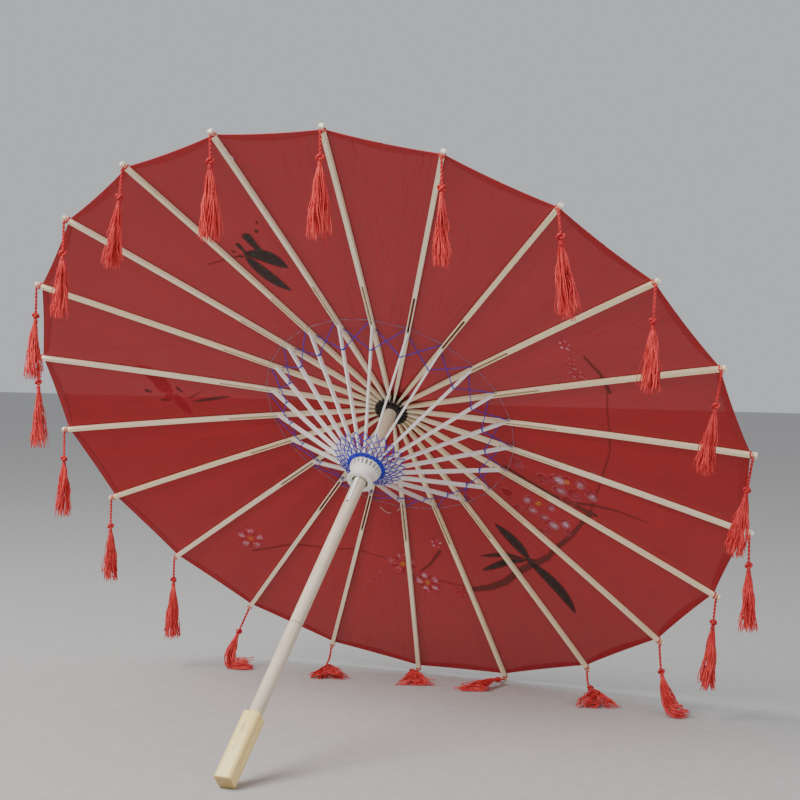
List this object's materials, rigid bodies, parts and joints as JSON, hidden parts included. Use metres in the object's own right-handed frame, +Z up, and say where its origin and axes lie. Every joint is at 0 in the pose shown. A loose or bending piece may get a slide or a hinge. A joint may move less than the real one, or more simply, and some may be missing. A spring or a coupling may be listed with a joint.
{
  "type": "paper umbrella",
  "caption": "Red cloth umbrella of bamboo ribs with tassels and painted blossoms, lying open; a sliding runner folds the ribs and stretchers.",
  "frame": {"origin": "on the ground under the middle of the bounding box of the open umbrella, which rests on its handle end and two rib tips", "axes": "+Z up from the ground, the shaft leans up and away along +Y with the handle end towards -Y, +X is to the right seen from the handle"},
  "size_m": [0.848, 0.6226, 0.6205],
  "materials": {
    "ribs": "pale split bamboo, unvarnished",
    "stretchers": "bamboo painted white, satin",
    "shaft_wood": "pale turned dowel, fine grain, satin",
    "dowel_wood": "plain dowel",
    "handle_wood": "yellow wood, glossy varnish",
    "catch_bamboo": "white bamboo strip",
    "black_plastic": "black, satin",
    "ivory_plastic": "ivory, half gloss",
    "wire": "thin wire",
    "canopy_cloth": "thin see-through red cloth with painted blossom sprays",
    "blue_thread": "twisted sewing thread",
    "grey_thread": "twisted sewing thread",
    "tassel_red": "silky red cord and yarn"
  },
  "bodies": {
    "shaft": {"shaft_upper": "shaft_wood", "shaft_lower": "shaft_wood", "shaft_dowel": "dowel_wood", "handle": "handle_wood", "top_notch": "black_plastic", "notch_wire": "wire", "crown_cap": "black_plastic", "canopy": "canopy_cloth", "rib_lacing": "blue_thread", "runner_lacing": "blue_thread", "spacer_thread": "grey_thread", "tassel_cords": "tassel_red", "tassel_fringes": "tassel_red"},
    "runner": {"runner": "ivory_plastic", "runner_pins": "wire"},
    "catch": {"catch": "catch_bamboo"},
    "rib_01": {"rib_01": "ribs"},
    "rib_02": {"rib_02": "ribs"},
    "rib_03": {"rib_03": "ribs"},
    "rib_04": {"rib_04": "ribs"},
    "rib_05": {"rib_05": "ribs"},
    "rib_06": {"rib_06": "ribs"},
    "rib_07": {"rib_07": "ribs"},
    "rib_08": {"rib_08": "ribs"},
    "rib_09": {"rib_09": "ribs"},
    "rib_10": {"rib_10": "ribs"},
    "rib_11": {"rib_11": "ribs"},
    "rib_12": {"rib_12": "ribs"},
    "rib_13": {"rib_13": "ribs"},
    "rib_14": {"rib_14": "ribs"},
    "rib_15": {"rib_15": "ribs"},
    "rib_16": {"rib_16": "ribs"},
    "rib_17": {"rib_17": "ribs"},
    "rib_18": {"rib_18": "ribs"},
    "rib_19": {"rib_19": "ribs"},
    "rib_20": {"rib_20": "ribs"},
    "rib_21": {"rib_21": "ribs"},
    "rib_22": {"rib_22": "ribs"},
    "stretcher_01": {"stretcher_01": "stretchers"},
    "stretcher_02": {"stretcher_02": "stretchers"},
    "stretcher_03": {"stretcher_03": "stretchers"},
    "stretcher_04": {"stretcher_04": "stretchers"},
    "stretcher_05": {"stretcher_05": "stretchers"},
    "stretcher_06": {"stretcher_06": "stretchers"},
    "stretcher_07": {"stretcher_07": "stretchers"},
    "stretcher_08": {"stretcher_08": "stretchers"},
    "stretcher_09": {"stretcher_09": "stretchers"},
    "stretcher_10": {"stretcher_10": "stretchers"},
    "stretcher_11": {"stretcher_11": "stretchers"},
    "stretcher_12": {"stretcher_12": "stretchers"},
    "stretcher_13": {"stretcher_13": "stretchers"},
    "stretcher_14": {"stretcher_14": "stretchers"},
    "stretcher_15": {"stretcher_15": "stretchers"},
    "stretcher_16": {"stretcher_16": "stretchers"},
    "stretcher_17": {"stretcher_17": "stretchers"},
    "stretcher_18": {"stretcher_18": "stretchers"},
    "stretcher_19": {"stretcher_19": "stretchers"},
    "stretcher_20": {"stretcher_20": "stretchers"},
    "stretcher_21": {"stretcher_21": "stretchers"},
    "stretcher_22": {"stretcher_22": "stretchers"}
  },
  "joints": [
    {"name": "runner_slide", "type": "slide", "parent": "shaft", "child": "runner", "axis": [0, -0.7424, -0.6699], "range_m": [0, 0.17852], "deforming": ["canopy", "rib_lacing", "runner_lacing", "spacer_thread", "tassel_cords", "tassel_fringes", "catch"]},
    {"name": "catch_press", "type": "hinge", "parent": "shaft", "child": "catch", "pos_m": [0, -0.04363, 0.25008], "axis": [-1, 0, 0], "range_deg": [0, 2.1], "stiffness_Nm_per_rad": 0.6},
    {"name": "rib_01_hinge", "type": "hinge", "parent": "shaft", "child": "rib_01", "pos_m": [0.00216, 0.05911, 0.35565], "axis": [0.9898, 0.0953, -0.1057], "range_deg": [0, 80.1]},
    {"name": "stretcher_01_hinge", "type": "hinge", "parent": "rib_01", "child": "stretcher_01", "pos_m": [0.01978, -0.0333, 0.43732], "axis": [-0.9898, -0.0953, 0.1057], "range_deg": [0, 134.86]},
    {"name": "rib_02_hinge", "type": "hinge", "parent": "shaft", "child": "rib_02", "pos_m": [0.00631, 0.05993, 0.35475], "axis": [0.9096, 0.2783, -0.3084], "range_deg": [0, 80.1]},
    {"name": "stretcher_02_hinge", "type": "hinge", "parent": "rib_02", "child": "stretcher_02", "pos_m": [0.05774, -0.02583, 0.42904], "axis": [-0.9096, -0.2783, 0.3084], "range_deg": [0, 134.86]},
    {"name": "rib_03_hinge", "type": "hinge", "parent": "shaft", "child": "rib_03", "pos_m": [0.00995, 0.06149, 0.35301], "axis": [0.7557, 0.4387, -0.4862], "range_deg": [0, 80.1]},
    {"name": "stretcher_03_hinge", "type": "hinge", "parent": "rib_03", "child": "stretcher_03", "pos_m": [0.09103, -0.0115, 0.41316], "axis": [-0.7557, -0.4387, 0.4862], "range_deg": [0, 134.86]},
    {"name": "rib_04_hinge", "type": "hinge", "parent": "shaft", "child": "rib_04", "pos_m": [0.01279, 0.06369, 0.35058], "axis": [0.5406, 0.5636, -0.6246], "range_deg": [0, 80.1]},
    {"name": "stretcher_04_hinge", "type": "hinge", "parent": "rib_04", "child": "stretcher_04", "pos_m": [0.11693, 0.00853, 0.39097], "axis": [-0.5406, -0.5636, 0.6246], "range_deg": [0, 134.86]},
    {"name": "rib_05_hinge", "type": "hinge", "parent": "shaft", "child": "rib_05", "pos_m": [0.01458, 0.06632, 0.34766], "axis": [0.2817, 0.6428, -0.7123], "range_deg": [0, 80.1]},
    {"name": "stretcher_05_hinge", "type": "hinge", "parent": "rib_05", "child": "stretcher_05", "pos_m": [0.13337, 0.03264, 0.36425], "axis": [-0.2817, -0.6428, 0.7123], "range_deg": [0, 134.86]},
    {"name": "rib_06_hinge", "type": "hinge", "parent": "shaft", "child": "rib_06", "pos_m": [0.0152, 0.06919, 0.34448], "axis": [0, 0.6699, -0.7424], "range_deg": [0, 80.1]},
    {"name": "stretcher_06_hinge", "type": "hinge", "parent": "rib_06", "child": "stretcher_06", "pos_m": [0.139, 0.05887, 0.33517], "axis": [0, -0.6699, 0.7424], "range_deg": [0, 134.86]},
    {"name": "rib_07_hinge", "type": "hinge", "parent": "shaft", "child": "rib_07", "pos_m": [0.01458, 0.07206, 0.3413], "axis": [-0.2817, 0.6428, -0.7123], "range_deg": [0, 80.1]},
    {"name": "stretcher_07_hinge", "type": "hinge", "parent": "rib_07", "child": "stretcher_07", "pos_m": [0.13337, 0.08511, 0.3061], "axis": [0.2817, -0.6428, 0.7123], "range_deg": [0, 134.86]},
    {"name": "rib_08_hinge", "type": "hinge", "parent": "shaft", "child": "rib_08", "pos_m": [0.01279, 0.0747, 0.33838], "axis": [-0.5406, 0.5636, -0.6246], "range_deg": [0, 80.1]},
    {"name": "stretcher_08_hinge", "type": "hinge", "parent": "rib_08", "child": "stretcher_08", "pos_m": [0.11693, 0.10922, 0.27938], "axis": [0.5406, -0.5636, 0.6246], "range_deg": [0, 134.86]},
    {"name": "rib_09_hinge", "type": "hinge", "parent": "shaft", "child": "rib_09", "pos_m": [0.00995, 0.07689, 0.33596], "axis": [-0.7557, 0.4387, -0.4862], "range_deg": [0, 80.1]},
    {"name": "stretcher_09_hinge", "type": "hinge", "parent": "rib_09", "child": "stretcher_09", "pos_m": [0.09103, 0.12925, 0.25718], "axis": [0.7557, -0.4387, 0.4862], "range_deg": [0, 134.86]},
    {"name": "rib_10_hinge", "type": "hinge", "parent": "shaft", "child": "rib_10", "pos_m": [0.00631, 0.07845, 0.33422], "axis": [-0.9096, 0.2783, -0.3084], "range_deg": [0, 80.1]},
    {"name": "stretcher_10_hinge", "type": "hinge", "parent": "rib_10", "child": "stretcher_10", "pos_m": [0.05774, 0.14358, 0.2413], "axis": [0.9096, -0.2783, 0.3084], "range_deg": [0, 134.86]},
    {"name": "rib_11_hinge", "type": "hinge", "parent": "shaft", "child": "rib_11", "pos_m": [0.00216, 0.07927, 0.33331], "axis": [-0.9898, 0.0953, -0.1057], "range_deg": [0, 80.1]},
    {"name": "stretcher_11_hinge", "type": "hinge", "parent": "rib_11", "child": "stretcher_11", "pos_m": [0.01978, 0.15105, 0.23303], "axis": [0.9898, -0.0953, 0.1057], "range_deg": [0, 134.86]},
    {"name": "rib_12_hinge", "type": "hinge", "parent": "shaft", "child": "rib_12", "pos_m": [-0.00216, 0.07927, 0.33331], "axis": [-0.9898, -0.0953, 0.1057], "range_deg": [0, 80.1]},
    {"name": "stretcher_12_hinge", "type": "hinge", "parent": "rib_12", "child": "stretcher_12", "pos_m": [-0.01978, 0.15105, 0.23303], "axis": [0.9898, 0.0953, -0.1057], "range_deg": [0, 134.86]},
    {"name": "rib_13_hinge", "type": "hinge", "parent": "shaft", "child": "rib_13", "pos_m": [-0.00631, 0.07845, 0.33422], "axis": [-0.9096, -0.2783, 0.3084], "range_deg": [0, 80.1]},
    {"name": "stretcher_13_hinge", "type": "hinge", "parent": "rib_13", "child": "stretcher_13", "pos_m": [-0.05774, 0.14358, 0.2413], "axis": [0.9096, 0.2783, -0.3084], "range_deg": [0, 134.86]},
    {"name": "rib_14_hinge", "type": "hinge", "parent": "shaft", "child": "rib_14", "pos_m": [-0.00995, 0.07689, 0.33596], "axis": [-0.7557, -0.4387, 0.4862], "range_deg": [0, 80.1]},
    {"name": "stretcher_14_hinge", "type": "hinge", "parent": "rib_14", "child": "stretcher_14", "pos_m": [-0.09103, 0.12925, 0.25718], "axis": [0.7557, 0.4387, -0.4862], "range_deg": [0, 134.86]},
    {"name": "rib_15_hinge", "type": "hinge", "parent": "shaft", "child": "rib_15", "pos_m": [-0.01279, 0.0747, 0.33838], "axis": [-0.5406, -0.5636, 0.6246], "range_deg": [0, 80.1]},
    {"name": "stretcher_15_hinge", "type": "hinge", "parent": "rib_15", "child": "stretcher_15", "pos_m": [-0.11693, 0.10922, 0.27938], "axis": [0.5406, 0.5636, -0.6246], "range_deg": [0, 134.86]},
    {"name": "rib_16_hinge", "type": "hinge", "parent": "shaft", "child": "rib_16", "pos_m": [-0.01458, 0.07206, 0.3413], "axis": [-0.2817, -0.6428, 0.7123], "range_deg": [0, 80.1]},
    {"name": "stretcher_16_hinge", "type": "hinge", "parent": "rib_16", "child": "stretcher_16", "pos_m": [-0.13337, 0.08511, 0.3061], "axis": [0.2817, 0.6428, -0.7123], "range_deg": [0, 134.86]},
    {"name": "rib_17_hinge", "type": "hinge", "parent": "shaft", "child": "rib_17", "pos_m": [-0.0152, 0.06919, 0.34448], "axis": [0, -0.6699, 0.7424], "range_deg": [0, 80.1]},
    {"name": "stretcher_17_hinge", "type": "hinge", "parent": "rib_17", "child": "stretcher_17", "pos_m": [-0.139, 0.05887, 0.33517], "axis": [0, 0.6699, -0.7424], "range_deg": [0, 134.86]},
    {"name": "rib_18_hinge", "type": "hinge", "parent": "shaft", "child": "rib_18", "pos_m": [-0.01458, 0.06632, 0.34766], "axis": [0.2817, -0.6428, 0.7123], "range_deg": [0, 80.1]},
    {"name": "stretcher_18_hinge", "type": "hinge", "parent": "rib_18", "child": "stretcher_18", "pos_m": [-0.13337, 0.03264, 0.36425], "axis": [-0.2817, 0.6428, -0.7123], "range_deg": [0, 134.86]},
    {"name": "rib_19_hinge", "type": "hinge", "parent": "shaft", "child": "rib_19", "pos_m": [-0.01279, 0.06369, 0.35058], "axis": [0.5406, -0.5636, 0.6246], "range_deg": [0, 80.1]},
    {"name": "stretcher_19_hinge", "type": "hinge", "parent": "rib_19", "child": "stretcher_19", "pos_m": [-0.11693, 0.00853, 0.39097], "axis": [-0.5406, 0.5636, -0.6246], "range_deg": [0, 134.86]},
    {"name": "rib_20_hinge", "type": "hinge", "parent": "shaft", "child": "rib_20", "pos_m": [-0.00995, 0.06149, 0.35301], "axis": [0.7557, -0.4387, 0.4862], "range_deg": [0, 80.1]},
    {"name": "stretcher_20_hinge", "type": "hinge", "parent": "rib_20", "child": "stretcher_20", "pos_m": [-0.09103, -0.0115, 0.41316], "axis": [-0.7557, 0.4387, -0.4862], "range_deg": [0, 134.86]},
    {"name": "rib_21_hinge", "type": "hinge", "parent": "shaft", "child": "rib_21", "pos_m": [-0.00631, 0.05993, 0.35475], "axis": [0.9096, -0.2783, 0.3084], "range_deg": [0, 80.1]},
    {"name": "stretcher_21_hinge", "type": "hinge", "parent": "rib_21", "child": "stretcher_21", "pos_m": [-0.05774, -0.02583, 0.42904], "axis": [-0.9096, 0.2783, -0.3084], "range_deg": [0, 134.86]},
    {"name": "rib_22_hinge", "type": "hinge", "parent": "shaft", "child": "rib_22", "pos_m": [-0.00216, 0.05911, 0.35565], "axis": [0.9898, -0.0953, 0.1057], "range_deg": [0, 80.1]},
    {"name": "stretcher_22_hinge", "type": "hinge", "parent": "rib_22", "child": "stretcher_22", "pos_m": [-0.01978, -0.0333, 0.43732], "axis": [-0.9898, 0.0953, -0.1057], "range_deg": [0, 134.86]}
  ],
  "couplings": [
    {"joint": "rib_01_hinge", "follows": "runner_slide", "rad_per_m": 7.8291},
    {"joint": "stretcher_01_hinge", "follows": "runner_slide", "rad_per_m": 13.183},
    {"joint": "rib_02_hinge", "follows": "runner_slide", "rad_per_m": 7.8291},
    {"joint": "stretcher_02_hinge", "follows": "runner_slide", "rad_per_m": 13.183},
    {"joint": "rib_03_hinge", "follows": "runner_slide", "rad_per_m": 7.8291},
    {"joint": "stretcher_03_hinge", "follows": "runner_slide", "rad_per_m": 13.183},
    {"joint": "rib_04_hinge", "follows": "runner_slide", "rad_per_m": 7.8291},
    {"joint": "stretcher_04_hinge", "follows": "runner_slide", "rad_per_m": 13.183},
    {"joint": "rib_05_hinge", "follows": "runner_slide", "rad_per_m": 7.8291},
    {"joint": "stretcher_05_hinge", "follows": "runner_slide", "rad_per_m": 13.183},
    {"joint": "rib_06_hinge", "follows": "runner_slide", "rad_per_m": 7.8291},
    {"joint": "stretcher_06_hinge", "follows": "runner_slide", "rad_per_m": 13.183},
    {"joint": "rib_07_hinge", "follows": "runner_slide", "rad_per_m": 7.8291},
    {"joint": "stretcher_07_hinge", "follows": "runner_slide", "rad_per_m": 13.183},
    {"joint": "rib_08_hinge", "follows": "runner_slide", "rad_per_m": 7.8291},
    {"joint": "stretcher_08_hinge", "follows": "runner_slide", "rad_per_m": 13.183},
    {"joint": "rib_09_hinge", "follows": "runner_slide", "rad_per_m": 7.8291},
    {"joint": "stretcher_09_hinge", "follows": "runner_slide", "rad_per_m": 13.183},
    {"joint": "rib_10_hinge", "follows": "runner_slide", "rad_per_m": 7.8291},
    {"joint": "stretcher_10_hinge", "follows": "runner_slide", "rad_per_m": 13.183},
    {"joint": "rib_11_hinge", "follows": "runner_slide", "rad_per_m": 7.8291},
    {"joint": "stretcher_11_hinge", "follows": "runner_slide", "rad_per_m": 13.183},
    {"joint": "rib_12_hinge", "follows": "runner_slide", "rad_per_m": 7.8291},
    {"joint": "stretcher_12_hinge", "follows": "runner_slide", "rad_per_m": 13.183},
    {"joint": "rib_13_hinge", "follows": "runner_slide", "rad_per_m": 7.8291},
    {"joint": "stretcher_13_hinge", "follows": "runner_slide", "rad_per_m": 13.183},
    {"joint": "rib_14_hinge", "follows": "runner_slide", "rad_per_m": 7.8291},
    {"joint": "stretcher_14_hinge", "follows": "runner_slide", "rad_per_m": 13.183},
    {"joint": "rib_15_hinge", "follows": "runner_slide", "rad_per_m": 7.8291},
    {"joint": "stretcher_15_hinge", "follows": "runner_slide", "rad_per_m": 13.183},
    {"joint": "rib_16_hinge", "follows": "runner_slide", "rad_per_m": 7.8291},
    {"joint": "stretcher_16_hinge", "follows": "runner_slide", "rad_per_m": 13.183},
    {"joint": "rib_17_hinge", "follows": "runner_slide", "rad_per_m": 7.8291},
    {"joint": "stretcher_17_hinge", "follows": "runner_slide", "rad_per_m": 13.183},
    {"joint": "rib_18_hinge", "follows": "runner_slide", "rad_per_m": 7.8291},
    {"joint": "stretcher_18_hinge", "follows": "runner_slide", "rad_per_m": 13.183},
    {"joint": "rib_19_hinge", "follows": "runner_slide", "rad_per_m": 7.8291},
    {"joint": "stretcher_19_hinge", "follows": "runner_slide", "rad_per_m": 13.183},
    {"joint": "rib_20_hinge", "follows": "runner_slide", "rad_per_m": 7.8291},
    {"joint": "stretcher_20_hinge", "follows": "runner_slide", "rad_per_m": 13.183},
    {"joint": "rib_21_hinge", "follows": "runner_slide", "rad_per_m": 7.8291},
    {"joint": "stretcher_21_hinge", "follows": "runner_slide", "rad_per_m": 13.183},
    {"joint": "rib_22_hinge", "follows": "runner_slide", "rad_per_m": 7.8291},
    {"joint": "stretcher_22_hinge", "follows": "runner_slide", "rad_per_m": 13.183}
  ]
}
